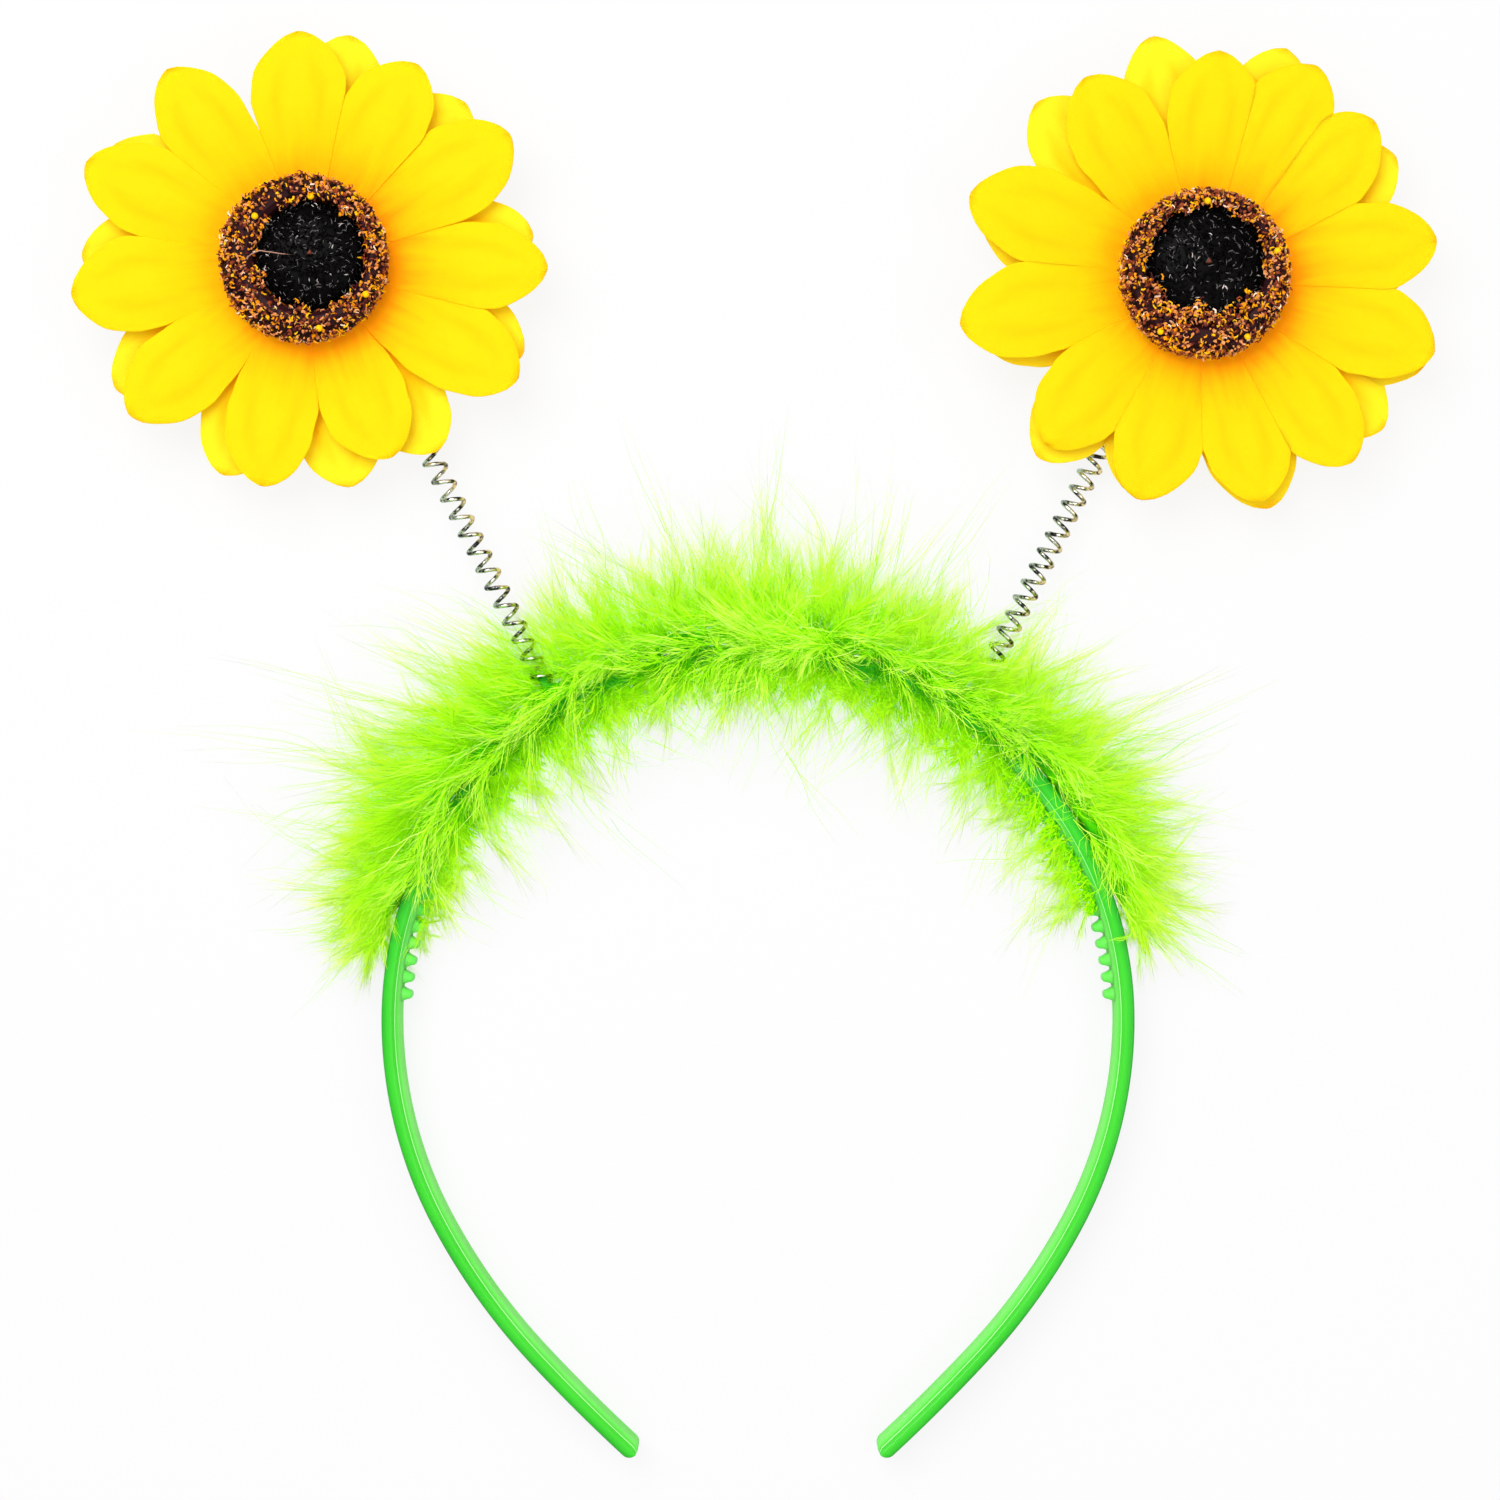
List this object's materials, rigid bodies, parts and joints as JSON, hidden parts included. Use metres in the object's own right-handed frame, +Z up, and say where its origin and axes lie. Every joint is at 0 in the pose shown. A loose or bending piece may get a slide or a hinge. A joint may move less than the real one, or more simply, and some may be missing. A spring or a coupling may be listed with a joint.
{
  "type": "sunflower headband",
  "caption": "Costume headband: a moulded alice band with comb teeth and a feather trim on its crown, carrying fabric sunflowers that bob on coil springs.",
  "frame": {"origin": "middle of the crown's arc, on the surface that the band's back edge lies on", "axes": "+Z up from that surface, towards the front; +Y from the tips to the top of the crown; +X to the right, seen from the front"},
  "size_m": [0.2359, 0.2468, 0.022],
  "materials": {
    "moulded_plastic": "glossy translucent green moulded plastic",
    "feather": "loose dyed lime feather barbs",
    "spring_steel": "bright drawn steel wire",
    "felt": "plain matte felt",
    "back_petal_cloth": "thin matte dyed cloth, pressed",
    "front_petal_cloth": "thin matte dyed cloth, pressed, orange towards the middle",
    "floret_crumb": "brown, purple and orange crumbs",
    "dark_bristle": "short black bristles"
  },
  "bodies": {
    "root": {"headband": "moulded_plastic", "feather_trim": "feather", "spring_left": "spring_steel", "spring_right": "spring_steel", "flower_back_left": "felt", "flower_back_right": "felt", "petals_back_left": "back_petal_cloth", "petals_back_right": "back_petal_cloth", "petals_front_left": "front_petal_cloth", "petals_front_right": "front_petal_cloth", "floret_ring_left": "floret_crumb", "floret_ring_right": "floret_crumb", "dark_centre_left": "dark_bristle", "dark_centre_right": "dark_bristle"}
  },
  "joints": []
}
